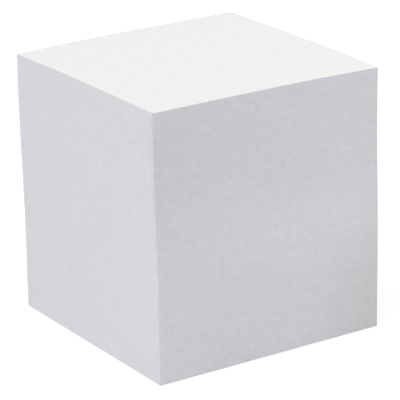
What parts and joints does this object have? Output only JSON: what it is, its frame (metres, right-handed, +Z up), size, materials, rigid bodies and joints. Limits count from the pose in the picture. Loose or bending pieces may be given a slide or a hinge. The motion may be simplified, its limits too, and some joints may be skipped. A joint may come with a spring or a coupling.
{
  "type": "memo cube",
  "caption": "Plain white note sheets stacked as a square desk block, with crisp flush-cut sides and a flat sheet on top to write on.",
  "frame": {"origin": "middle of the base, on the surface that the block stands on", "axes": "+Z up, square to the sheets; the cut sides face along X and Y"},
  "size_m": [0.0902, 0.0902, 0.095],
  "materials": {
    "white_paper": "plain uncoated white writing paper; the cut edges look a little greyer and cooler than the top sheet"
  },
  "bodies": {
    "root": {"paper_block": "white_paper"}
  },
  "joints": []
}
